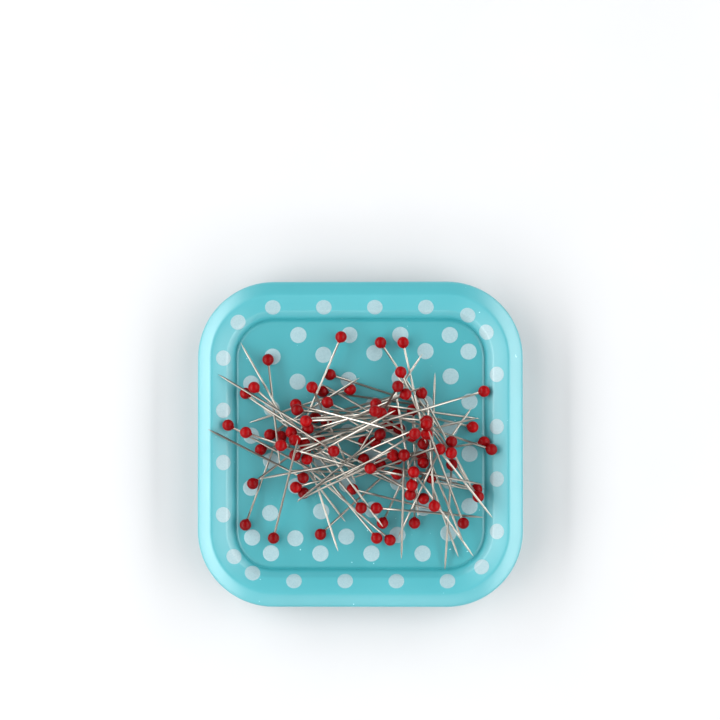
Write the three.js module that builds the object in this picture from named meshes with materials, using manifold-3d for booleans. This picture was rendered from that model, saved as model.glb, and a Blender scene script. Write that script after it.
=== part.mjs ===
// A magnetic pin cushion: a shallow dish with two magnets under its floor, and the heap of glass-headed
// pins that they hold. Millimetres, +Z up. The origin is on the surface that the feet stand on, under
// the middle of the dish. +X is the dish's right and +Y its far side.

import * as THREE from 'three';
import { mergeVertices } from 'three/addons/utils/BufferGeometryUtils.js';
import Module from 'manifold-3d';

// ---------------------------------------------------------------- driving dimensions

// An inset is a plan distance in from the dish's outer edge.
const TRAY_WIDTH = 86.6;
const TRAY_CORNER = 20.3;
const RIM_TOP = 12.6;
const FLOOR_THICKNESS = 1.6;
const WALL_THICKNESS = 1.8;
const SKIRT_BOTTOM = 1.0;
const SKIRT_DRAW_IN = 4.5;   // the inset of the skirt's foot

// The slope of the upper surface, as [inset, degrees down from level]. The rim's band rises inward to its
// crest, the wall falls gently from there, and it steepens to the fold along the floor.
const SLOPES = [
  [0.5, -32], [3.3, -24], [3.8, 0], [4.1, 13], [5.8, 18], [7.7, 20], [7.9, 36], [9.3, 44], [10.0, 48],
];
const EDGE_INSET = SLOPES[0][0];
const CREST_INSET = SLOPES.find(([, degrees]) => degrees === 0)[0];
const FOLD_INSET = SLOPES.at(-1)[0];

// The outside of the skirt and the hollow under the wall, as [inset, height], from the rim to the foot and
// from the foot to the floor.
const SKIRT_PROFILE = [[0.4, 8.4], [1.6, 4.3], [3.0, 1.9]];
const HOLLOW_PROFILE = [[4.0, 4.8], [2.6, 8.2], [2.6, 9.8], [3.8, 10.8], [5.5, 10.4], [7.5, 9.6]];
const HOLLOW_END_INSET = 8.9;

const SMALL_GAP = 0.05;      // between flat faces that touch
const FIT_GAP = 0.3;         // around pieces that drop into one another

const COVER_THICKNESS = 1.5;
const YOKE = { length: 56, width: 34, thickness: 1.0 };
const MAGNET = { length: 16, width: 30, spacing: 36 };
const RIB = { width: 1.6, height: 2.4 };
const TAB = { width: 10, thickness: 1.2, height: 4.5 };
const FOOT = { radius: 5, chamfer: 0.25, offset: 26, sides: 16 };

const PIN_LENGTH = 28.5;     // from the middle of the head to the point
const SHAFT_RADIUS = 0.3;
const HEAD_RADIUS = 1.5;
const POINT_LENGTH = 4.0;
const PIN_CLEARANCE = 0.15;  // between one pin and the next, and between a pin and the dish
const PIN_SIDES = 8;
const PIN_BALL_STEPS = 6;

const SAMPLE_STEP = 0.4;     // between the balls that stand for a pin's shaft while it is laid down
const STEEPEST_RISE = 12;    // the most that a pin's point lies above or below its head
const RISE_STEP = 1;
const BALANCE = 0.4;         // where a pin's weight acts, as a fraction of its length from the head

const CORNER_STEPS = 8;
const EDGE_STEPS = 4;
const HALF_WIDTH = TRAY_WIDTH / 2;

// ---------------------------------------------------------------- the pins' places

// Each row is one pin: its head's x and y, and the bearing of its point, anticlockwise from +X in degrees.

// These lie tangled over and under one another, held to the floor and to one another by the magnets.
const HEAP_PINS = [
  [-8, 18.5, 342], [-10, 14, 352], [-2.5, 14.5, 198], [-24, 2.5, 32], [-21, 2, 307],
  [-10.5, -24, 43], [6, -21, 65], [14.5, -21, 90], [33, 0.5, 189], [30, 4.5, 167],
  [31, -12, 165], [14, 9, 273], [-24.5, 22.5, 277], [-30.5, 13.5, 322], [-28, 15, 317],
  [-18, 3, 120], [-30.5, -21.5, 70], [4.5, -25, 130], [8, -25.5, 139], [10, -8, 178],
  [3, -6.5, 348], [4.5, 10.5, 352], [7.5, 5, 185], [5.5, 27, 304], [19, -9, 88],
  [-12, 7, 15], [-8.5, 11, 335], [31.5, -14, 125], [-35, 5, 332], [-15, -9, 153],
  [-28.5, -10.5, 37], [1, -4, 191], [5.5, -5.5, 349], [4, 0.5, 13], [11, 19, 294],
  [11.5, 27, 283], [35, -1.5, 161], [20, -16.5, 94], [16.5, 13.5, 298], [18, 2.5, 308],
  [-13.5, 4, 149], [-12.5, 15, 294], [24.5, -5.5, 266], [13.5, -13.5, 55], [-5, 28.5, 247],
];

// These lie on the heap, clear of one another, and can be picked off one at a time.
const LOOSE_PINS = [
  [-6.5, -2, 148], [12, -3, 268], [27.5, -21, 110], [5.5, 2.5, 219], [-23, -25, 75], [33, 14, 197],
];

// ---------------------------------------------------------------- solids and booleans

const wasm = await Module();
wasm.setup();

function toManifold(geometry) {
  const bare = geometry.clone();
  bare.deleteAttribute('normal');
  bare.deleteAttribute('uv');
  const merged = mergeVertices(bare);
  return new wasm.Manifold(new wasm.Mesh({
    numProp: 3,
    vertProperties: Float32Array.from(merged.attributes.position.array),
    triVerts: Uint32Array.from(merged.index.array),
  }));
}

function fromManifold(solid) {
  const mesh = solid.getMesh();
  const geometry = new THREE.BufferGeometry();
  geometry.setAttribute('position', new THREE.BufferAttribute(mesh.vertProperties, 3));
  geometry.setIndex(new THREE.BufferAttribute(mesh.triVerts, 1));
  geometry.computeVertexNormals();
  return geometry;
}

// ---------------------------------------------------------------- rounded-square lofts

// The points of the dish's outline, moved in by `inset`, at height z.
function outlineRing(inset, z) {
  const half = HALF_WIDTH - inset;
  const radius = Math.max(TRAY_CORNER - inset, 1);
  const points = [];
  for (let corner = 0; corner < 4; corner += 1) {
    const start = corner * Math.PI / 2;
    const centreAngle = start + Math.PI / 4;
    const centreX = Math.sign(Math.cos(centreAngle)) * (half - radius);
    const centreY = Math.sign(Math.sin(centreAngle)) * (half - radius);
    for (let step = 0; step <= CORNER_STEPS; step += 1) {
      const angle = start + step / CORNER_STEPS * Math.PI / 2;
      points.push([centreX + radius * Math.cos(angle), centreY + radius * Math.sin(angle), z]);
    }
  }
  return points;
}

// A closed solid through rings of equal length, with a point on the axis at each end.
function loftBetweenPoles(startZ, rings, endZ) {
  const count = rings[0].length;
  const positions = [[0, 0, startZ], ...rings.flat(), [0, 0, endZ]];
  const last = positions.length - 1;
  const indices = [];
  for (let side = 0; side < count; side += 1) {
    const next = (side + 1) % count;
    indices.push(0, 1 + side, 1 + next);
    for (let ring = 0; ring < rings.length - 1; ring += 1) {
      const here = 1 + ring * count;
      const below = here + count;
      indices.push(here + side, below + side, below + next);
      indices.push(here + side, below + next, here + next);
    }
    const end = 1 + (rings.length - 1) * count;
    indices.push(last, end + next, end + side);
  }
  const geometry = new THREE.BufferGeometry();
  geometry.setAttribute('position', new THREE.Float32BufferAttribute(positions.flat(), 3));
  geometry.setIndex(indices);
  geometry.computeVertexNormals();
  return geometry;
}

// ---------------------------------------------------------------- the dish

// The part of one stretch of the upper surface that lies outside an inset: its width, and its slopes in
// radians.
function stretchOutside(index, inset) {
  const [startInset, startDegrees] = SLOPES[index];
  const [endInset, endDegrees] = SLOPES[index + 1];
  const share = THREE.MathUtils.clamp((inset - startInset) / (endInset - startInset), 0, 1);
  return {
    width: share * (endInset - startInset),
    from: THREE.MathUtils.degToRad(startDegrees),
    to: THREE.MathUtils.degToRad(startDegrees + share * (endDegrees - startDegrees)),
  };
}

// How far the upper surface falls from its outer edge to an inset. The slope changes evenly along each
// stretch, so the fall is the integral of its tangent.
function fallTo(inset) {
  let fall = 0;
  for (let index = 0; index < SLOPES.length - 1; index += 1) {
    const { width, from, to } = stretchOutside(index, inset);
    const even = from === to;
    fall += even ? width * Math.tan(from) : width / (to - from) * Math.log(Math.cos(from) / Math.cos(to));
  }
  return fall;
}

const EDGE_TOP = RIM_TOP + fallTo(CREST_INSET);
const FLOOR_TOP = EDGE_TOP - fallTo(FOLD_INSET);

// Outside the edge inset, a round turns the band down into the skirt.
const EDGE_LEAN = THREE.MathUtils.degToRad(-SLOPES[0][1]);
const EDGE_RADIUS = EDGE_INSET / (1 - Math.sin(EDGE_LEAN));
const EDGE_CENTRE_Z = EDGE_TOP - EDGE_RADIUS * Math.cos(EDGE_LEAN);

// Height of the dish's upper surface at an inset.
function surfaceHeight(inset) {
  if (inset < EDGE_INSET) {
    const across = EDGE_RADIUS - Math.max(inset, 0);
    return EDGE_CENTRE_Z + Math.sqrt(EDGE_RADIUS ** 2 - across ** 2);
  }
  return EDGE_TOP - fallTo(inset);
}

// How much higher than over level ground a ball's middle stands, per millimetre of its radius.
function slopeRoom(inset) {
  if (inset >= FOLD_INSET) {
    return 1;
  }
  const stretch = SLOPES.findIndex(([end]) => end > inset) - 1;
  return 1 / Math.cos(stretchOutside(Math.max(stretch, 0), inset).to);
}

// [inset, z] up the wall from the fold, over the rim, and down the outside of the skirt.
function outsideProfile() {
  const insets = [];
  for (let index = SLOPES.length - 1; index > 0; index -= 1) {
    const [inner] = SLOPES[index];
    const [outer] = SLOPES[index - 1];
    insets.push(inner, (inner + outer) / 2);
  }
  for (let step = 0; step <= EDGE_STEPS; step += 1) {
    const lean = THREE.MathUtils.lerp(EDGE_LEAN, Math.PI / 2, step / EDGE_STEPS);
    insets.push(EDGE_RADIUS * (1 - Math.sin(lean)));
  }
  const top = insets.map((inset) => [inset, surfaceHeight(inset)]);
  return [...top, ...SKIRT_PROFILE, [SKIRT_DRAW_IN, SKIRT_BOTTOM]];
}

// [inset, z] up the inside of the hollow underside, from the skirt's foot to the floor's underside.
function insideProfile() {
  const footInset = SKIRT_DRAW_IN + WALL_THICKNESS;
  return [
    [footInset, SKIRT_BOTTOM],
    [footInset, SKIRT_BOTTOM + COVER_THICKNESS + FIT_GAP],
    ...HOLLOW_PROFILE,
    [HOLLOW_END_INSET, FLOOR_TOP - FLOOR_THICKNESS],
  ];
}

function trayGeometry() {
  const rings = [...outsideProfile(), ...insideProfile()].map(([inset, z]) => outlineRing(inset, z));
  return loftBetweenPoles(FLOOR_TOP, rings, FLOOR_TOP - FLOOR_THICKNESS);
}

// ---------------------------------------------------------------- the underside

const COVER_INSET = SKIRT_DRAW_IN + WALL_THICKNESS + FIT_GAP;
const COVER_TOP = SKIRT_BOTTOM + COVER_THICKNESS;
const YOKE_BOTTOM = COVER_TOP + SMALL_GAP;
const MAGNET_BOTTOM = YOKE_BOTTOM + YOKE.thickness + SMALL_GAP;
const MAGNET_TOP = FLOOR_TOP - FLOOR_THICKNESS - SMALL_GAP;

function rectangle(length, width) {
  const shape = new THREE.Shape();
  shape.moveTo(-length / 2, -width / 2);
  shape.lineTo(length / 2, -width / 2);
  shape.lineTo(length / 2, width / 2);
  shape.lineTo(-length / 2, width / 2);
  shape.closePath();
  return shape;
}

function extruded(shape, bottom, height) {
  const geometry = new THREE.ExtrudeGeometry(shape, { depth: height, bevelEnabled: false });
  geometry.translate(0, 0, bottom);
  return geometry;
}

// A plate with a frame of ribs round the yoke plate and a snap tab standing at the middle of each side.
function coverGeometry() {
  const plateRings = [outlineRing(COVER_INSET, COVER_TOP), outlineRing(COVER_INSET, SKIRT_BOTTOM)];
  let cover = toManifold(loftBetweenPoles(COVER_TOP, plateRings, SKIRT_BOTTOM));
  const clearLength = YOKE.length + 2 * FIT_GAP;
  const clearWidth = YOKE.width + 2 * FIT_GAP;
  const frame = rectangle(clearLength + 2 * RIB.width, clearWidth + 2 * RIB.width);
  frame.holes.push(rectangle(clearLength, clearWidth));
  cover = cover.add(toManifold(extruded(frame, SKIRT_BOTTOM + COVER_THICKNESS / 2, RIB.height)));
  const tabCentre = HALF_WIDTH - COVER_INSET - TAB.thickness / 2;
  for (let side = 0; side < 4; side += 1) {
    const tab = extruded(rectangle(TAB.thickness, TAB.width), SKIRT_BOTTOM + COVER_THICKNESS / 2, TAB.height);
    tab.translate(tabCentre, 0, 0);
    tab.rotateZ(side * Math.PI / 2);
    cover = cover.add(toManifold(tab));
  }
  return fromManifold(cover);
}

function yokeGeometry() {
  return extruded(rectangle(YOKE.length, YOKE.width), YOKE_BOTTOM, YOKE.thickness);
}

function magnetGeometry() {
  return extruded(rectangle(MAGNET.length, MAGNET.width), MAGNET_BOTTOM, MAGNET_TOP - MAGNET_BOTTOM);
}

// A disc with a small chamfer at its foot and its top flat against the cover.
function footGeometry() {
  const top = SKIRT_BOTTOM - SMALL_GAP;
  const profile = [
    new THREE.Vector2(0, 0),
    new THREE.Vector2(FOOT.radius - FOOT.chamfer, 0),
    new THREE.Vector2(FOOT.radius, FOOT.chamfer),
    new THREE.Vector2(FOOT.radius, top),
    new THREE.Vector2(0, top),
  ];
  const geometry = new THREE.LatheGeometry(profile, FOOT.sides);
  geometry.rotateX(Math.PI / 2);
  return geometry;
}

// ---------------------------------------------------------------- the pins

// One pin along +X, with the middle of its head at the origin: ball, shaft and sharpened point.
function pinGeometry() {
  const shaftAngle = Math.asin(SHAFT_RADIUS / HEAD_RADIUS);
  const profile = [];
  for (let step = 0; step <= PIN_BALL_STEPS; step += 1) {
    const angle = step / PIN_BALL_STEPS * (Math.PI - shaftAngle);
    profile.push(new THREE.Vector2(HEAD_RADIUS * Math.sin(angle), -HEAD_RADIUS * Math.cos(angle)));
  }
  profile[0].x = 0;
  profile.push(new THREE.Vector2(SHAFT_RADIUS, PIN_LENGTH - POINT_LENGTH));
  profile.push(new THREE.Vector2(0, PIN_LENGTH));
  const geometry = new THREE.LatheGeometry(profile, PIN_SIDES);
  geometry.rotateZ(-Math.PI / 2);
  return geometry;
}

// How far a plan point lies inside the dish's outer edge.
function insetAt(x, y) {
  const straight = HALF_WIDTH - TRAY_CORNER;
  const overX = Math.max(Math.abs(x) - straight, 0);
  const overY = Math.max(Math.abs(y) - straight, 0);
  return TRAY_CORNER - Math.hypot(overX, overY);
}

// The balls that stand for a pin when its neighbours are laid on it, with the head's middle at height 0.
function pinSamples([x, y, bearingDegrees], rise) {
  const bearing = THREE.MathUtils.degToRad(bearingDegrees);
  const run = Math.sqrt(PIN_LENGTH ** 2 - rise ** 2);
  const samples = [{ at: 0, radius: HEAD_RADIUS }];
  for (let along = HEAD_RADIUS; along <= PIN_LENGTH; along += SAMPLE_STEP) {
    samples.push({ at: along / PIN_LENGTH, radius: SHAFT_RADIUS });
  }
  for (const sample of samples) {
    sample.x = x + run * Math.cos(bearing) * sample.at;
    sample.y = y + run * Math.sin(bearing) * sample.at;
    sample.z = rise * sample.at;
  }
  return samples;
}

// The lowest height of a pin's head at which it clears the dish.
function heightOverDish(samples) {
  const heights = samples.map((sample) => {
    const inset = insetAt(sample.x, sample.y);
    return surfaceHeight(inset) + sample.radius * slopeRoom(inset) + PIN_CLEARANCE - sample.z;
  });
  return Math.max(...heights);
}

// The spans of head height, lowest first, at which a pin would touch one that is already placed.
function blockedSpans(samples, placed) {
  const spans = [];
  for (const sample of samples) {
    for (const other of placed) {
      const apartX = sample.x - other.x;
      const apartY = sample.y - other.y;
      const reach = sample.radius + other.radius + PIN_CLEARANCE;
      const room = reach * reach - apartX * apartX - apartY * apartY;
      if (room > 0) {
        const half = Math.sqrt(room);
        const middle = other.z - sample.z;
        spans.push([middle - half, middle + half]);
      }
    }
  }
  return spans.sort((first, second) => first[0] - second[0]);
}

// The head height, at or over `lowest`, that is out of every blocked span. A pin that has to come away
// upwards stays over them all.
function clearHeight(lowest, spans, onTop) {
  let height = lowest;
  for (const [from, to] of spans) {
    if (to > height && (onTop || from < height)) {
      height = to;
    }
  }
  return height;
}

// Lays a pin as low as it goes among those already placed.
function settlePin(row, placed, onTop) {
  let best = null;
  for (let rise = -STEEPEST_RISE; rise <= STEEPEST_RISE; rise += RISE_STEP) {
    const samples = pinSamples(row, rise);
    const headZ = clearHeight(heightOverDish(samples), blockedSpans(samples, placed), onTop);
    const balanceZ = headZ + BALANCE * rise;
    if (best === null || balanceZ < best.balanceZ) {
      best = { balanceZ, headZ, rise, samples };
    }
  }
  best.samples.forEach((sample) => placed.push({ ...sample, z: sample.z + best.headZ }));
  return best;
}

// ---------------------------------------------------------------- materials

function material(colour, roughness, metalness) {
  return new THREE.MeshStandardMaterial({ color: colour, roughness, metalness });
}

const COLOURS = {
  turquoise: '#5dbac7',
  cover: '#4fa9b6',
  rubber: '#2b2b2d',
  ferrite: '#3a3a3c',
  zincSteel: '#b9bcc0',
  red: '#c8101a',
};

// ---------------------------------------------------------------- assembly

const part = new THREE.Group();

function addMesh(name, geometry, meshMaterial) {
  const mesh = new THREE.Mesh(geometry, meshMaterial);
  mesh.name = name;
  part.add(mesh);
  return mesh;
}

addMesh('tray_shell', trayGeometry(), material(COLOURS.turquoise, 0.25, 0));
addMesh('base_cover', coverGeometry(), material(COLOURS.cover, 0.45, 0));
addMesh('yoke_plate', yokeGeometry(), material(COLOURS.zincSteel, 0.4, 1));
for (const [name, side] of [['magnet_left', -1], ['magnet_right', 1]]) {
  const magnet = addMesh(name, magnetGeometry(), material(COLOURS.ferrite, 0.7, 0.2));
  magnet.position.x = side * MAGNET.spacing / 2;
}
[[-1, -1], [1, -1], [1, 1], [-1, 1]].forEach(([sideX, sideY], index) => {
  const foot = addMesh(`rubber_foot_${index + 1}`, footGeometry(), material(COLOURS.rubber, 0.9, 0));
  foot.position.set(sideX * FOOT.offset, sideY * FOOT.offset, 0);
});

const placed = [];

function addPins(prefix, rows, onTop) {
  rows.forEach((row, index) => {
    const { headZ, rise } = settlePin(row, placed, onTop);
    const [x, y, bearingDegrees] = row;
    const mesh = addMesh(`${prefix}_${index + 1}`, pinGeometry(), material(COLOURS.red, 0.2, 0));
    mesh.position.set(x, y, headZ);
    mesh.rotation.set(0, -Math.asin(rise / PIN_LENGTH), THREE.MathUtils.degToRad(bearingDegrees), 'ZYX');
  });
}

addPins('heap_pin', HEAP_PINS, false);
addPins('loose_pin', LOOSE_PINS, true);

export default part;
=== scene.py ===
"""A magnetic pin cushion: a polka-dot dish, the magnets under its floor, and a heap of glass-headed pins.

Sizes are written in millimetres and turned into metres where a mesh is made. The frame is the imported
CAD model's: Z is up, the ground is at Z = 0, and the dish's middle is over the origin.
"""

import math

import bmesh
import bpy
import numpy as np
from mathutils import Matrix, Vector


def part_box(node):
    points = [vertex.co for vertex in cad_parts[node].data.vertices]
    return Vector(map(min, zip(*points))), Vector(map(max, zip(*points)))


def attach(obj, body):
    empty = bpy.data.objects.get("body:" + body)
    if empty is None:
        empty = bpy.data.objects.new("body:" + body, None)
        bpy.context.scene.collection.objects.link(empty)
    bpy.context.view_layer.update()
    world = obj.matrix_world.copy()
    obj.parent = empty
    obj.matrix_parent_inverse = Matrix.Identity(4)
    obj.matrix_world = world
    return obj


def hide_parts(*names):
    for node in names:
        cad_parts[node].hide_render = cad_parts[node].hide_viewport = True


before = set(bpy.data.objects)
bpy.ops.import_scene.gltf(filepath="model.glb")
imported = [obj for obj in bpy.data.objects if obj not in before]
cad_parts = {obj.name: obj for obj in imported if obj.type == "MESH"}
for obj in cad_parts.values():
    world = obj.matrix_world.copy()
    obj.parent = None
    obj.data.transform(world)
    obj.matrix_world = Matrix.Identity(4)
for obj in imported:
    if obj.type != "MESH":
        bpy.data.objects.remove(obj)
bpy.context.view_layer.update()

MM = 0.001

# ------------------------------------------------------------------ driving dimensions, millimetres

HALF_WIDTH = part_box("tray_shell")[1][0] / MM
RIM_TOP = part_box("tray_shell")[1][2] / MM
TRAY_CORNER = 20.3
FLOOR_THICKNESS = 1.6
# The upper surface's slope in degrees at each inset: out over the rim's slanted band, then in down the
# wall, which steepens to the fold along the floor.
SLOPES = [
    (0.5, -32), (3.3, -24), (3.8, 0), (4.1, 13), (5.8, 18), (7.7, 20), (7.9, 36), (9.3, 44), (10.0, 48),
]
EDGE_INSET = SLOPES[0][0]
CREST_INSET = next(inset for inset, slope in SLOPES if slope == 0)
FOLD_INSET = SLOPES[-1][0]
GROOVE_DEPTH = 0.36
GROOVE_HALF_WIDTH = 0.75

PIN_LENGTH = 28.5
SHAFT_RADIUS = 0.3
POINT_LENGTH = 4.0
# The pins are laid out by HEAD_RADIUS, and the glass itself is a shade fuller.
HEAD_RADIUS = 1.5
BEAD_RADIUS = 1.56

CORNER_STEPS = 20
EDGE_STEPS = 14

# ------------------------------------------------------------------ meshes


def new_object(name, vertices, faces, materials, smooth=True):
    """An object from vertices in millimetres, with its faces turned outward."""
    mesh = bpy.data.meshes.new(name)
    mesh.from_pydata([[value * MM for value in vertex] for vertex in vertices], [], faces)
    shell = bmesh.new()
    shell.from_mesh(mesh)
    bmesh.ops.recalc_face_normals(shell, faces=shell.faces)
    shell.to_mesh(mesh)
    shell.free()
    mesh.polygons.foreach_set("use_smooth", [smooth] * len(mesh.polygons))
    for material in materials:
        mesh.materials.append(material)
    obj = bpy.data.objects.new(name, mesh)
    bpy.context.scene.collection.objects.link(obj)
    return obj


def sharpen(obj, degrees):
    """Keeps the edges that turn by more than this crisp in smooth shading."""
    shell = bmesh.new()
    shell.from_mesh(obj.data)
    for edge in shell.edges:
        edge.smooth = edge.calc_face_angle(0.0) < math.radians(degrees)
    shell.to_mesh(obj.data)
    shell.free()


def loft(rings):
    """One closed shell through rings of equal length, with a fan at each end."""
    count = len(rings[0])
    vertices = [point for ring in rings for point in ring]
    faces = []
    for row in range(len(rings) - 1):
        for column in range(count):
            across = (column + 1) % count
            this_row, next_row = row * count, (row + 1) * count
            faces.append((this_row + column, this_row + across, next_row + across, next_row + column))
    for row in (0, len(rings) - 1):
        middle = len(vertices)
        vertices.append(tuple(np.mean(rings[row], axis=0)))
        for column in range(count):
            faces.append((row * count + column, row * count + (column + 1) % count, middle))
    return vertices, faces


def spun(profile, sides):
    """The rings of a solid of revolution about Z, from (radius, height) pairs."""
    turns = [2 * math.pi * side / sides for side in range(sides)]
    return [
        [(radius * math.cos(turn), radius * math.sin(turn), height) for turn in turns]
        for radius, height in profile
    ]


def spline(points, steps):
    """Points along a smooth curve through the given ones."""
    points = [np.array(point, float) for point in points]
    ends = [2 * points[0] - points[1], *points, 2 * points[-1] - points[-2]]
    curve = []
    for a, b, c, d in zip(ends, ends[1:], ends[2:], ends[3:]):
        for step in range(steps):
            t = step / steps
            squared = (2 * a - 5 * b + 4 * c - d) * t**2
            cubed = (3 * b - a - 3 * c + d) * t**3
            curve.append(0.5 * (2 * b + (c - a) * t + squared + cubed))
    return [*curve, points[-1]]


# ------------------------------------------------------------------ the dish

# The floor's rings are these shares of the outline just inside the groove. The groove's rings stand at
# these shares of its half-width from the fold, inward first.
FLOOR_SHARES = (0.12, 0.35, 0.6, 0.82, 1.0)
FLOOR_EDGE_INSET = 11.3
GROOVE_SHARES = (1.5, 1.15, 1, 0.6, 0.2, 0, -0.2, -0.6, -1, -1.15)
WALL_RINGS = 52
RIM_RINGS = 7
SKIRT_STEPS = 6
# The outside of the skirt, and the lip and hollow under the dish, as (inset, height).
SKIRT = [(0.4, 8.4), (1.6, 4.3), (3.0, 1.9), (4.4, 1.08)]
HOLLOW = [
    (4.6, 1.0), (6.2, 1.0), (6.3, 1.1), (6.3, 2.8), (4.0, 4.8),
    (2.6, 8.2), (2.6, 9.8), (3.8, 10.8), (5.5, 10.4), (7.5, 9.6),
]
UNDERSIDE_INSET = 8.9


def inset_at(x, y):
    """How far a point is inside the dish's outline."""
    straight = HALF_WIDTH - TRAY_CORNER
    return TRAY_CORNER - math.hypot(max(abs(x) - straight, 0), max(abs(y) - straight, 0))


def fall(inset):
    """How far the upper surface has fallen since the edge inset. Its slope changes evenly along each
    stretch."""
    drop = 0.0
    for (start, start_slope), (end, end_slope) in zip(SLOPES, SLOPES[1:]):
        share = min(max((inset - start) / (end - start), 0), 1)
        width = share * (end - start)
        first = math.radians(start_slope)
        last = math.radians(start_slope + share * (end_slope - start_slope))
        if first == last:
            drop += width * math.tan(first)
        else:
            drop += width / (last - first) * math.log(math.cos(first) / math.cos(last))
    return drop


EDGE_TOP = RIM_TOP + fall(CREST_INSET)
FLOOR_TOP = EDGE_TOP - fall(FOLD_INSET)
EDGE_LEAN = math.radians(-SLOPES[0][1])
EDGE_RADIUS = EDGE_INSET / (1 - math.sin(EDGE_LEAN))


def crisp_height(inset):
    """The height of the dish's upper surface in the CAD model."""
    if inset < EDGE_INSET:
        across = EDGE_RADIUS - max(inset, 0)
        return EDGE_TOP - EDGE_RADIUS * math.cos(EDGE_LEAN) + math.sqrt(EDGE_RADIUS**2 - across**2)
    return EDGE_TOP - fall(inset)


def surface_height(inset):
    """The same, with the fine groove along the fold."""
    return crisp_height(inset) - GROOVE_DEPTH * max(0, 1 - abs(inset - FOLD_INSET) / GROOVE_HALF_WIDTH)


def outline(inset, share=1.0):
    """The rounded square at an inset, drawn in towards the middle by share."""
    straight = HALF_WIDTH - TRAY_CORNER
    radius = TRAY_CORNER - inset
    arcs = []
    for turn, (side_x, side_y) in enumerate([(1, 1), (-1, 1), (-1, -1), (1, -1)]):
        for step in range(CORNER_STEPS + 1):
            angle = math.pi / 2 * (turn + step / CORNER_STEPS)
            arcs.append(
                (side_x * straight + radius * math.cos(angle), side_y * straight + radius * math.sin(angle))
            )
    points = []
    for index, start in enumerate(arcs):
        end = arcs[(index + 1) % len(arcs)]
        steps = EDGE_STEPS if (index + 1) % (CORNER_STEPS + 1) == 0 else 1
        for step in range(steps):
            t = step / steps
            points.append((start[0] + (end[0] - start[0]) * t, start[1] + (end[1] - start[1]) * t))
    return [(x * share, y * share) for x, y in points]


def inner_rings():
    """The floor, the groove and the wall, from the middle of the floor to the rim's edge."""
    rings = [[(x, y, FLOOR_TOP) for x, y in outline(FLOOR_EDGE_INSET, share)] for share in FLOOR_SHARES]
    groove = [FOLD_INSET + GROOVE_HALF_WIDTH * share for share in GROOVE_SHARES]
    wall = np.linspace(FOLD_INSET - GROOVE_SHARES[0] * GROOVE_HALF_WIDTH, EDGE_INSET, WALL_RINGS)
    for inset in [*groove, *wall]:
        rings.append([(x, y, surface_height(inset)) for x, y in outline(inset)])
    return rings


def rim_rings():
    """The rounded outer edge of the rim."""
    rings = []
    for step in range(1, RIM_RINGS + 1):
        turn = EDGE_LEAN + (math.pi / 2 - EDGE_LEAN) * step / RIM_RINGS
        inset = EDGE_RADIUS * (1 - math.sin(turn))
        rings.append([(x, y, crisp_height(inset)) for x, y in outline(inset)])
    return rings


def outer_rings():
    """The skirt, and the hollow under the dish to the middle of its underside."""
    underside = FLOOR_TOP - FLOOR_THICKNESS
    skirt = spline([(0, crisp_height(0)), *SKIRT], SKIRT_STEPS)[1:]
    rings = []
    for inset, height in [*skirt, *HOLLOW, (UNDERSIDE_INSET, underside)]:
        rings.append([(x, y, height) for x, y in outline(inset)])
    for share in reversed(FLOOR_SHARES[:-1]):
        rings.append([(x, y, underside) for x, y in outline(UNDERSIDE_INSET, share)])
    return rings


def make_dish(plastic):
    rings = [*inner_rings(), *rim_rings(), *outer_rings()]
    dish = new_object("moulded_dish", *loft(rings), [plastic])
    sharpen(dish, degrees=50)
    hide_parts("tray_shell")
    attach(dish, "tray")


# ------------------------------------------------------------------ the printed dots

DOT_PITCH_X = (13.6, 0.46)
DOT_PITCH_Y = (0.2, 13.9)
DOT_ORIGIN = (-3.3, 3.2)
DOT_RADIUS = 2.15
WALL_DOT_SQUEEZE = (0.96, 0.88)
DOT_SIDES = 40
LATTICE_REACH = 8
# A lattice point at least this far in prints on the floor, on the wall, or lower on the wall.
FLOOR_LIMIT = 10.8
WALL_LIMIT = 4.3
CORNER_LIMIT = 1.8
# The insets that the dots near the fold and on the wall are moved to.
FLOOR_DOT_INSET = 14.2
WALL_DOT_INSET = 6.9
CORNER_DOT_INSET = 7.7
# A dot's skin from its middle to its edge and down into the plastic, as (share of its radius, lift).
INK_PROFILE = [(share, 0.035) for share in (0.06, 0.15, 0.27, 0.39, 0.51, 0.63, 0.75, 0.87)]
INK_PROFILE += [(0.97, 0.03), (1.0, 0.012), (1.0, -0.08), (0.5, -0.3)]


def nearest_straight(x, y):
    """The nearest point of the square that the corner arcs are drawn about."""
    straight = HALF_WIDTH - TRAY_CORNER
    return np.array([max(-straight, min(straight, x)), max(-straight, min(straight, y))])


def dot_places():
    """The middles of the printed dots, on the floor and on the wall. They are a lattice with a dot in the
    middle of each cell, and the dots that would fall on the fold are moved clear of it."""
    floor, wall = [], []
    for row in range(-LATTICE_REACH, LATTICE_REACH + 1):
        for column in range(-LATTICE_REACH + row % 2, LATTICE_REACH + 1, 2):
            across = np.multiply(column / 2, DOT_PITCH_X)
            place = np.array(DOT_ORIGIN) + across + np.multiply(row / 2, DOT_PITCH_Y)
            inset = inset_at(*place)
            if inset >= FLOOR_DOT_INSET:
                floor.append(place)
            elif inset >= FLOOR_LIMIT:
                floor.append(moved_to_inset(place, FLOOR_DOT_INSET))
            elif inset >= WALL_LIMIT:
                wall.append(moved_to_inset(place, WALL_DOT_INSET))
            elif inset >= CORNER_LIMIT:
                wall.append(moved_to_inset(place, CORNER_DOT_INSET))
    return floor, wall


def moved_to_inset(place, inset):
    """The point moved straight across the wall until it is this far inside the dish's outline."""
    near = nearest_straight(*place)
    out = place - near
    return near + out * (TRAY_CORNER - inset) / np.linalg.norm(out)


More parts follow.
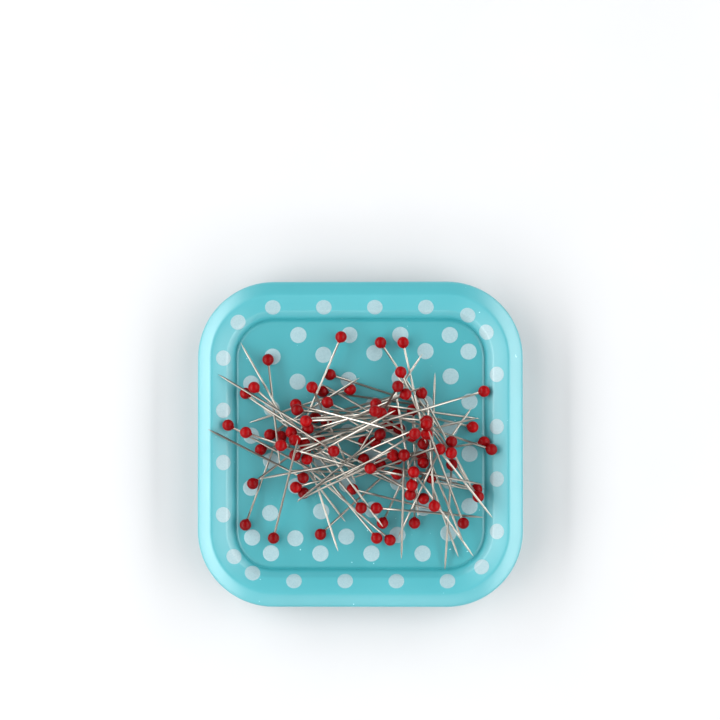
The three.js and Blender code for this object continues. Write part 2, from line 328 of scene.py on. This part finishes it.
def dot_shell(place, along, out):
    """One dot of ink with these two half-axes, a thin closed shell that follows the plastic under it."""
    rings = []
    for share, lift in INK_PROFILE:
        ring = []
        for side in range(DOT_SIDES):
            turn = 2 * math.pi * side / DOT_SIDES
            x, y = place + share * (along * math.cos(turn) + out * math.sin(turn))
            ring.append((x, y, surface_height(inset_at(x, y)) + lift))
        rings.append(ring)
    return loft(rings)


def dot_axes(place, on_wall):
    """A dot's half-axes. On the wall it is smaller, and shorter across the wall than along it."""
    if not on_wall:
        return np.array([DOT_RADIUS, 0]), np.array([0, DOT_RADIUS])
    out = place - nearest_straight(*place)
    out *= DOT_RADIUS / np.linalg.norm(out)
    along = np.array([-out[1], out[0]])
    return along * WALL_DOT_SQUEEZE[0], out * WALL_DOT_SQUEEZE[1]


def make_dots(ink):
    floor, wall = dot_places()
    for name, places in (("floor_dots", floor), ("wall_dots", wall)):
        vertices, faces = [], []
        for place in places:
            points, polygons = dot_shell(place, *dot_axes(place, name == "wall_dots"))
            faces += [tuple(corner + len(vertices) for corner in polygon) for polygon in polygons]
            vertices += points
        dots = new_object(name, vertices, faces, [ink])
        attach(dots, "tray")


# ------------------------------------------------------------------ the pins

# The pins that lie deeper in the heap. A row is the head's x and y, and the bearing of the point,
# anticlockwise from +X in degrees. The last eight rows stand where a search for room in the heap found some.
BURIED_PINS = [
    (-16.5, 9, 354), (-10.5, 1, 306), (-9, 6, 19), (-26.5, -1.5, 10), (-30, 3, 340), (-14.5, 0, 336),
    (-14.5, -2.5, 288), (-18, -11.5, 20), (-15, -13, 25), (-2, -12, 346), (-0.5, -17, 130), (1, 0.5, 56),
    (4.5, 8.5, 195), (12.5, 13, 203), (10.5, 4, 190), (9, 8.5, 203), (10, -4, 150), (13.5, -7.5, 305),
    (16.5, -3.5, 290), (17, 0, 292), (23.5, 0.5, 200), (24.5, -2.5, 125), (16, -14.5, 150), (14, -11, 100),
    (21.5, -2.5, 236), (10.5, 15, 238), (-20.5, 0.5, 339), (-16, 1, 5), (-13, 6, 3), (6, 7, 188),
    (18, 5, 195), (-17, 9.5, 345), (4.5, -16, 355), (9, -3, 205), (14, 2, 150), (14, 2.5, 210),
    (18, 6, 165), (17, -5, 150), (-17, -3, 20), (-14, -4, 28),
]
# What is tried where a pin has no room at its own row: millimetres east and north, and degrees.
NUDGES = [
    (east, north, turn)
    for turn in (0, 4, -4, 8, -8)
    for east, north in ((0, 0), (1, 0), (-1, 0), (0, 1), (0, -1))
    if (east, north, turn) != (0, 0, 0)
]
# The height that a buried pin's balance point stays under.
HEAP_TOP = 19.0
BURIED_CLEARANCE = 0.02
STEEPEST_RISE = 13
SAMPLE_STEP = 0.3
# Where a pin's weight acts, as a share of its length from the head.
BALANCE = 0.4
# Each pin is turned this much further about its own length than the one before it.
GOLDEN_TURN = math.pi * (3 - math.sqrt(5))

PIN_SIDES = 20
POINT_STEPS = 8
HEAD_STEPS = 16
# The point's tip as a share of the shaft's radius, and how fast it fills out to the shaft.
TIP_SHARE = 0.1
POINT_FULLNESS = 2.4
SHAFT_RINGS = (12.0, 20.0)
# The collar where the glass is fused on, as (radius, depth under the bead), and where the bare shaft ends.
SHAFT_END = 0.16
COLLAR = [(0.35, 0.13), (0.42, 0.04)]
# The last ring at the bead's crown, as shares of its radius.
CROWN_RADIUS = 0.06
CROWN_HEIGHT = 0.998


def pin_profile():
    """A pin from its point, at the origin, to the top of its head, as (radius, height, is glass) rows."""
    rows = []
    for step in range(POINT_STEPS + 1):
        along = step / POINT_STEPS
        filled = TIP_SHARE + (1 - TIP_SHARE) * (1 - (1 - along) ** POINT_FULLNESS)
        rows.append((SHAFT_RADIUS * filled, POINT_LENGTH * along, False))
    neck = PIN_LENGTH - BEAD_RADIUS
    rows += [(SHAFT_RADIUS, height, False) for height in (*SHAFT_RINGS, neck - SHAFT_END)]
    rows += [(radius, neck - depth, True) for radius, depth in COLLAR]
    for step in range(2, HEAD_STEPS):
        angle = math.pi * step / HEAD_STEPS
        rows.append((BEAD_RADIUS * math.sin(angle), PIN_LENGTH - BEAD_RADIUS * math.cos(angle), True))
    rows.append((BEAD_RADIUS * CROWN_RADIUS, PIN_LENGTH + BEAD_RADIUS * CROWN_HEIGHT, True))
    return rows


def pin_mesh(steel, glass):
    """The mesh that every pin copies, with its shaft in one material and its bead in the other."""
    rows = pin_profile()
    vertices, faces = loft(spun([(radius, height) for radius, height, _ in rows], PIN_SIDES))
    template = new_object("pin_template", vertices, faces, [steel, glass])
    first_glass = min(height for _, height, is_glass in rows if is_glass) * MM
    for polygon in template.data.polygons:
        polygon.material_index = int(polygon.center.z >= first_glass - 0.03 * MM)
    mesh = template.data
    bpy.data.objects.remove(template)
    return mesh


def place_pin(name, mesh, head, point, turn):
    """A pin between two places in millimetres, turned about its own length."""
    head, point = Vector(head), Vector(point)
    pin = bpy.data.objects.new(name, mesh.copy())
    bpy.context.scene.collection.objects.link(pin)
    aim = (head - point).to_track_quat("Z", "Y").to_matrix().to_4x4()
    pin.matrix_world = Matrix.Translation(point * MM) @ aim @ Matrix.Rotation(turn, 4, "Z")
    return pin


def cad_pin_ends(node):
    """The head's middle and the point of a CAD pin, in millimetres."""
    corners = np.array([vertex.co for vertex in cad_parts[node].data.vertices]) / MM
    point = corners[np.argmax(np.linalg.norm(corners - corners.mean(axis=0), axis=1))]
    crown = corners[np.argmax(np.linalg.norm(corners - point, axis=1))]
    return point + (crown - point) * (PIN_LENGTH / np.linalg.norm(crown - point)), point


def pin_samples(head, point):
    """Small balls along a pin, as rows of x, y, z and radius."""
    along = np.concatenate([[0], np.arange(HEAD_RADIUS, PIN_LENGTH, SAMPLE_STEP)]) / PIN_LENGTH
    centres = np.outer(1 - along, head) + np.outer(along, point)
    radii = np.where(along == 0, HEAD_RADIUS, SHAFT_RADIUS)
    return np.column_stack([centres, radii])


def height_over_dish(samples):
    """The lowest height of a pin's head, sampled with its head at zero, at which it clears the dish."""
    heights = []
    insets, slopes = zip(*SLOPES)
    for x, y, z, radius in samples:
        inset = inset_at(x, y)
        slope = math.radians(np.interp(inset, insets, slopes, right=0))
        heights.append(crisp_height(inset) + radius / math.cos(slope) + BURIED_CLEARANCE - z)
    return max(heights)


def clear_height(samples, placed, lowest):
    """The first head height, from the lowest up, at which a pin misses all the placed ones. A placed
    sample whose last number isn't 0 may have nothing over it."""
    apart = np.hypot(samples[:, None, 0] - placed[None, :, 0], samples[:, None, 1] - placed[None, :, 1])
    reach = samples[:, None, 3] + placed[None, :, 3] + BURIED_CLEARANCE
    mine, other = np.nonzero(apart < reach)
    half = np.sqrt(reach[mine, other] ** 2 - apart[mine, other] ** 2)
    middle = placed[other, 2] - samples[mine, 2]
    ends = np.where(placed[other, 4] > 0, np.inf, middle + half)
    order = np.argsort(middle - half)
    height = lowest
    for start, end in zip((middle - half)[order], ends[order]):
        if start < height < end:
            height = end
    return height


def near_pin(row, placed):
    """The placed samples that a pin at this row could touch."""
    x, y, bearing = row
    away = placed[:, :2] - (x, y)
    turn = math.radians(bearing)
    along = away @ (math.cos(turn), math.sin(turn))
    across = away @ (-math.sin(turn), math.cos(turn))
    reach = 2 * HEAD_RADIUS + BURIED_CLEARANCE
    return placed[(np.abs(across) < reach) & (along > -reach) & (along < PIN_LENGTH + reach)]


def settle(row, placed):
    """The head and point of a pin laid as low as it goes among those placed."""
    x, y, bearing = row
    placed = near_pin(row, placed)
    bearing = math.radians(bearing)
    best = None
    for rise in range(-STEEPEST_RISE, STEEPEST_RISE + 1):
        run = math.sqrt(PIN_LENGTH**2 - rise**2)
        head = np.array([x, y, 0.0])
        point = head + np.array([run * math.cos(bearing), run * math.sin(bearing), rise])
        samples = pin_samples(head, point)
        height = clear_height(samples, placed, height_over_dish(samples))
        balance = height + BALANCE * rise
        if best is None or balance < best[0]:
            best = (balance, head + [0, 0, height], point + [0, 0, height])
    return best


def settle_nearby(row, placed):
    """The same, with the pin nudged a little where there's no room at its own row."""
    best = settle(row, placed)
    for nudge in NUDGES:
        if best[0] < HEAP_TOP:
            break
        tried = settle(tuple(value + change for value, change in zip(row, nudge)), placed)
        if tried[0] < best[0]:
            best = tried
    return best


def placed_samples(head, point, keep_clear):
    """A pin's samples, each with a 1 where nothing may lie over it and a 0 elsewhere."""
    samples = pin_samples(head, point)
    return np.column_stack([samples, np.full(len(samples), float(keep_clear))])


def make_cad_pins(mesh):
    """The pins of the CAD model, where it has them. Returns their samples, pin by pin."""
    placed = []
    for index, node in enumerate(sorted(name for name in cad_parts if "_pin_" in name)):
        head, point = cad_pin_ends(node)
        loose = node.startswith("loose")
        pin = place_pin(f"glass_headed_{node}", mesh, head, point, GOLDEN_TURN * index)
        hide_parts(node)
        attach(pin, node if loose else "heap")
        placed.append(placed_samples(head, point, keep_clear=loose))
    return placed


def make_buried_pins(mesh, placed):
    """The pins deeper in the heap, each laid among those placed before it. One with no room is left out."""
    turned = len(placed)
    for index, row in enumerate(BURIED_PINS):
        balance, head, point = settle_nearby(row, np.concatenate(placed))
        if balance > HEAP_TOP:
            continue
        pin = place_pin(f"buried_pin_{index + 1}", mesh, head, point, GOLDEN_TURN * (index + turned))
        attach(pin, "heap")
        placed.append(placed_samples(head, point, keep_clear=False))


# ------------------------------------------------------------------ materials


class Surface:
    """A Principled material and the nodes that feed it. Textures are sampled in the object's own space."""

    def __init__(self, name):
        self.material = bpy.data.materials.new(name)
        self.material.use_nodes = True
        self.tree = self.material.node_tree
        self.shader = self.tree.nodes["Principled BSDF"]
        self.coordinates = self.tree.nodes.new("ShaderNodeTexCoord").outputs["Object"]

    def set(self, **values):
        for name, value in values.items():
            self.shader.inputs[name.replace("_", " ")].default_value = value

    def link(self, output, socket):
        self.tree.links.new(output, self.shader.inputs[socket])

    def noise(self, scale, detail=3.0, roughness=0.5, stretch=(1, 1, 1)):
        """Noise with this many features to a metre."""
        mapping = self.tree.nodes.new("ShaderNodeMapping")
        mapping.inputs["Scale"].default_value = stretch
        self.tree.links.new(self.coordinates, mapping.inputs["Vector"])
        node = self.tree.nodes.new("ShaderNodeTexNoise")
        node.inputs["Scale"].default_value = scale
        node.inputs["Detail"].default_value = detail
        node.inputs["Roughness"].default_value = roughness
        self.tree.links.new(mapping.outputs["Vector"], node.inputs["Vector"])
        return node.outputs["Fac"]

    def height(self):
        """The height in the object's own space, in metres."""
        node = self.tree.nodes.new("ShaderNodeSeparateXYZ")
        self.tree.links.new(self.coordinates, node.inputs["Vector"])
        return node.outputs["Z"]

    def spread(self, value, low, high, to_low=0.0, to_high=1.0):
        """The value's band from low to high, stretched over another range."""
        node = self.tree.nodes.new("ShaderNodeMapRange")
        for name, number in (("From Min", low), ("From Max", high), ("To Min", to_low), ("To Max", to_high)):
            node.inputs[name].default_value = number
        self.tree.links.new(value, node.inputs["Value"])
        return node.outputs["Result"]

    def mix(self, factor, first, second):
        """From the first colour to the second."""
        node = self.tree.nodes.new("ShaderNodeMix")
        node.data_type = "RGBA"
        self.tree.links.new(factor, node.inputs["Factor"])
        for socket, colour in (("A", first), ("B", second)):
            target = [s for s in node.inputs if s.name == socket and s.type == "RGBA"][0]
            if isinstance(colour, bpy.types.NodeSocket):
                self.tree.links.new(colour, target)
            else:
                target.default_value = (*colour, 1)
        return [s for s in node.outputs if s.type == "RGBA"][0]

    def bump(self, height, depth, strength=1.0, under=None):
        """A relief of this depth in metres, over another one if there is one."""
        node = self.tree.nodes.new("ShaderNodeBump")
        node.inputs["Strength"].default_value = strength
        node.inputs["Distance"].default_value = depth
        self.tree.links.new(height, node.inputs["Height"])
        if under is not None:
            self.tree.links.new(under, node.inputs["Normal"])
        return node.outputs["Normal"]

    def own_shade(self):
        """A number from 0 to 1 that differs from object to object."""
        return self.tree.nodes.new("ShaderNodeObjectInfo").outputs["Random"]


def linear(display):
    """A display value from 0 to 1, in linear light."""
    return display / 12.92 if display <= 0.04045 else ((display + 0.055) / 1.055) ** 2.4


def srgb(red, green, blue):
    """A colour from 0 to 255 display values."""
    return tuple(linear(value / 255) for value in (red, green, blue))


DISH_GLOSS = {"Coat_Weight": 1.0, "Coat_Roughness": 0.38, "Coat_IOR": 1.75}
# The floor's painted shade, darker than the wall's colour, fades out over this height above it, in
# millimetres.
PAINTED_FLOOR_SHADE_REACH = 0.5


def dish_plastic():
    """Glossy moulded ABS with a faint orange-peel, hairline scuffs and specks of lint. The thin floor's
    colour is a painted shade, a little darker than the wall's."""
    surface = Surface("dish_plastic")
    surface.set(IOR=1.5, **DISH_GLOSS)
    clouds = surface.spread(surface.noise(40, 2), 0.3, 0.7)
    wall = surface.mix(clouds, srgb(57, 159, 169), srgb(65, 166, 176))
    # The floor's colour is a painted shade, a little darker than the wall's; the mask below fades it into
    # the wall's colour just above the fold.
    floor = surface.mix(clouds, srgb(38, 145, 154), srgb(44, 151, 160))
    painted_floor_shade_mask = surface.spread(surface.height(), FLOOR_TOP * MM, (FLOOR_TOP + PAINTED_FLOOR_SHADE_REACH) * MM)
    colour = surface.mix(painted_floor_shade_mask, floor, wall)
    specks = surface.spread(surface.noise(900, 1), 0.79, 0.82)
    surface.link(surface.mix(specks, colour, srgb(165, 220, 228)), "Base Color")
    haze = surface.noise(260, detail=4, roughness=0.6)
    surface.link(surface.spread(haze, 0.3, 0.7, to_low=0.38, to_high=0.46), "Roughness")
    peel = surface.bump(surface.noise(700, 2), depth=0.00003, strength=0.25)
    scuffs = surface.noise(160, detail=2, stretch=(1, 14, 1))
    surface.link(surface.bump(scuffs, depth=0.00002, strength=0.2, under=peel), "Normal")
    return surface.material


def dot_ink():
    """White pad-printing ink that lets a little of the turquoise through, as glossy as the plastic."""
    surface = Surface("dot_ink")
    surface.set(IOR=1.45, **DISH_GLOSS)
    grain = surface.spread(surface.noise(2600, 2), 0.35, 0.65)
    surface.link(surface.mix(grain, srgb(141, 174, 181), srgb(151, 182, 188)), "Base Color")
    surface.link(surface.spread(surface.noise(500, 3), 0.3, 0.7, 0.3, 0.42), "Roughness")
    surface.link(surface.bump(surface.noise(3000, 2), 0.00001, 0.3), "Normal")
    return surface.material


def pin_steel():
    """Drawn, nickel-plated steel: fine lines along the pin, and each pin's steel a random painted shade
    lighter or darker, standing in for how differently the pins catch the light.
    """
    surface = Surface("pin_steel")
    surface.set(Metallic=1.0)
    lines = surface.spread(surface.noise(3000, detail=2, stretch=(1, 1, 0.01)), 0.3, 0.7)
    # Painted shade and light: each pin's steel is a random shade lighter or darker, standing in for how
    # differently the pins catch the light.
    painted_shade_wire = surface.mix(surface.own_shade(), srgb(116, 111, 103), srgb(198, 192, 182))
    faint_lines = surface.spread(lines, 0, 1, to_low=0, to_high=0.3)
    surface.link(surface.mix(faint_lines, painted_shade_wire, srgb(214, 208, 198)), "Base Color")
    wear = surface.noise(900, detail=2, stretch=(1, 1, 0.05))
    surface.link(surface.spread(wear, 0.3, 0.7, to_low=0.28, to_high=0.31), "Roughness")
    return surface.material


def pin_glass():
    """Opaque red glass with a fire-polished skin; each bead is a slightly different red."""
    surface = Surface("pin_glass")
    surface.set(IOR=1.5, Specular_IOR_Level=0.08, Coat_Weight=0.12, Coat_Roughness=0.12)
    batch = surface.mix(surface.own_shade(), srgb(112, 0, 3), srgb(160, 2, 7))
    swirl = surface.spread(surface.noise(500, 2), 0.4, 0.75)
    surface.link(surface.mix(swirl, batch, srgb(124, 0, 5)), "Base Color")
    surface.link(surface.spread(surface.noise(900, 2), 0.3, 0.7, 0.34, 0.44), "Roughness")
    return surface.material


def moulded_matt(name, dark, light, roughness):
    """Spark-textured plastic or rubber."""
    surface = Surface(name)
    grain = surface.noise(2200, 3)
    surface.link(surface.mix(surface.spread(grain, 0.35, 0.65), dark, light), "Base Color")
    wear = surface.spread(surface.noise(300, 3), 0.3, 0.7, to_low=roughness - 0.06, to_high=roughness + 0.06)
    surface.link(wear, "Roughness")
    surface.link(surface.bump(grain, 0.00004, 0.5), "Normal")
    return surface.material


def plated_steel():
    """Plated sheet, brushed along X."""
    surface = Surface("yoke_steel")
    surface.set(Metallic=1.0)
    brushing = surface.noise(900, detail=4, roughness=0.6, stretch=(0.05, 1, 1))
    grain = surface.spread(brushing, 0.3, 0.7)
    surface.link(surface.mix(grain, srgb(170, 173, 178), srgb(202, 204, 207)), "Base Color")
    surface.link(surface.spread(surface.noise(200, 3), 0.3, 0.7, 0.32, 0.45), "Roughness")
    surface.link(surface.bump(grain, 0.00002, 0.3), "Normal")
    return surface.material


# ------------------------------------------------------------------ the hidden pieces

MERGE_DISTANCE = 0.001
FLAT_DEGREES = 1
SHARP_DEGREES = 30
# The foot's underside from its middle out, as (radius, height).
FOOT_DIMPLE = [(0.8, 0.12), (2.4, 0.1), (3.4, 0.0)]
FOOT_SIDES = 64


def soften(node, name, material, width):
    """A piece with the shape of its CAD node, and its sharp edges rounded by this many millimetres."""
    shell = bmesh.new()
    shell.from_mesh(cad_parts[node].data)
    bmesh.ops.remove_doubles(shell, verts=shell.verts, dist=MERGE_DISTANCE * MM)
    flat = math.radians(FLAT_DEGREES)
    bmesh.ops.dissolve_limit(shell, angle_limit=flat, verts=shell.verts, edges=shell.edges)
    sharp = [edge for edge in shell.edges if edge.calc_face_angle(0.0) > math.radians(SHARP_DEGREES)]
    bmesh.ops.bevel(
        shell, geom=sharp, offset=width * MM, segments=3, profile=0.5, affect="EDGES", clamp_overlap=True
    )
    vertices = [tuple(vertex.co / MM) for vertex in shell.verts]
    faces = [tuple(vertex.index for vertex in face.verts) for face in shell.faces]
    shell.free()
    piece = new_object(name, vertices, faces, [material])
    sharpen(piece, degrees=40)
    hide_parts(node)
    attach(piece, "tray")
    return piece


def make_hidden_pieces():
    cover = moulded_matt("cover_plastic", srgb(62, 150, 163), srgb(74, 164, 176), 0.5)
    ferrite = moulded_matt("ferrite", srgb(48, 48, 50), srgb(66, 66, 68), 0.6)
    soften("base_cover", "snap_in_cover", cover, 0.2)
    soften("yoke_plate", "steel_yoke", plated_steel(), 0.12)
    for side in ("left", "right"):
        soften(f"magnet_{side}", f"ferrite_block_{side}", ferrite, 0.35)


def make_feet():
    """Domed-edged rubber discs, each with a shallow dimple in the face that it stands on."""
    rubber = moulded_matt("foot_rubber", srgb(34, 34, 36), srgb(48, 48, 50), 0.82)
    for node in sorted(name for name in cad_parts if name.startswith("rubber_foot")):
        low, high = (np.array(corner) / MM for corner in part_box(node))
        middle = (low + high) / 2
        radius, top = (high[0] - low[0]) / 2, high[2]
        edge = [(radius - 0.32, 0.0), (radius - 0.1, 0.06), (radius, 0.25), (radius, top - 0.08)]
        upper = [(radius - 0.08, top), (1.0, top)]
        spun_rings = spun([*FOOT_DIMPLE, *edge, *upper], FOOT_SIDES)
        rings = [[(x + middle[0], y + middle[1], z) for x, y, z in ring] for ring in spun_rings]
        foot = new_object(f"moulded_{node}", *loft(rings), [rubber])
        sharpen(foot, degrees=50)
        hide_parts(node)
        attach(foot, "tray")


# ------------------------------------------------------------------ studio


# Each light's name, place, size and power, in metres and watts. All of them face the heap.
LIGHT_TARGET = (0, 0, 0.01)
LIGHTS = [
    ("left_softbox", (-0.7, 0.0, 0.475), (2.2, 0.28), 13.0),
    ("left_upper", (-0.4, 0.0, 0.75), (0.9, 0.36), 1.75),
    ("right_softbox", (0.7, 0.0, 0.475), (2.2, 0.28), 11.0),
    ("right_upper", (0.4, 0.0, 0.75), (0.9, 0.36), 1.75),
    ("near_softbox", (0.0, -0.73, 0.43), (0.5, 0.18), 1.0),
    ("low_left_strip", (-0.9, 0.0, 0.2), (1.6, 0.12), 2.0),
    ("low_right_strip", (0.9, 0.0, 0.2), (1.6, 0.12), 1.0),
    ("low_far_strip", (0.0, 0.9, 0.2), (1.6, 0.12), 0.6),
]
SKY_COLOUR = (0.9, 0.95, 1.0, 1)
SKY_STRENGTH = 0.12
GROUND_HALF_WIDTH = 2000


def area_light(name, place, size, energy):
    data = bpy.data.lights.new(name, "AREA")
    data.shape = "RECTANGLE"
    data.size, data.size_y = size
    data.energy = energy
    light = bpy.data.objects.new(name, data)
    light.location = place
    light.visible_camera = False
    light.rotation_euler = (Vector(LIGHT_TARGET) - Vector(place)).to_track_quat("-Z", "Y").to_euler()
    bpy.context.scene.collection.objects.link(light)


def make_studio():
    """A plain pale ground, soft lights and a faint sky."""
    ground = Surface("pale_ground")
    ground.link(ground.mix(ground.noise(30, 3), srgb(204, 205, 207), srgb(209, 210, 211)), "Base Color")
    ground.set(Roughness=0.6)
    half = GROUND_HALF_WIDTH
    corners = [(-half, -half, 0), (half, -half, 0), (half, half, 0), (-half, half, 0)]
    floor = new_object("studio_floor", corners, [(0, 1, 2, 3)], [ground.material])
    for light in LIGHTS:
        area_light(*light)
    world = bpy.data.worlds.new("studio")
    world.use_nodes = True
    background = world.node_tree.nodes["Background"]
    background.inputs["Color"].default_value = SKY_COLOUR
    background.inputs["Strength"].default_value = SKY_STRENGTH
    bpy.context.scene.world = world
    bpy.context.scene.view_settings.view_transform = "Standard"


# The width that the camera sees at the heap and where its middle is, in metres, and how far the camera
# stands from upright, in degrees.
FRAME_WIDTH = 0.1912
FRAME_MIDDLE = (0.0001, 0.0223, 0.013)
CAMERA_DISTANCE = 1.1
SENSOR_WIDTH = 36
TILT_RIGHT = 2.5
TILT_NEAR = 0.8


def make_camera():
    """Straight over the dish but for a degree or two, with a long lens."""
    data = bpy.data.cameras.new("camera")
    data.sensor_width = SENSOR_WIDTH
    data.lens = SENSOR_WIDTH * CAMERA_DISTANCE / FRAME_WIDTH
    data.clip_start = 0.05
    data.clip_end = 20
    camera = bpy.data.objects.new("camera", data)
    east, south = math.tan(math.radians(TILT_RIGHT)), math.tan(math.radians(TILT_NEAR))
    lean = Vector((east, -south, 1)).normalized()
    middle = Vector(FRAME_MIDDLE)
    camera.location = Vector((0, 0, middle.z)) + lean * CAMERA_DISTANCE
    away = (middle - camera.location).normalized()
    right = away.cross(Vector((0, 1, 0))).normalized()
    up = right.cross(away)
    turned = Matrix((right, up, -away)).transposed().to_4x4()
    camera.matrix_world = Matrix.Translation(camera.location) @ turned
    bpy.context.scene.collection.objects.link(camera)
    bpy.context.scene.camera = camera


make_camera()
make_studio()
make_dish(dish_plastic())
make_dots(dot_ink())
make_hidden_pieces()
make_feet()
pin_template = pin_mesh(pin_steel(), pin_glass())
make_buried_pins(pin_template, make_cad_pins(pin_template))
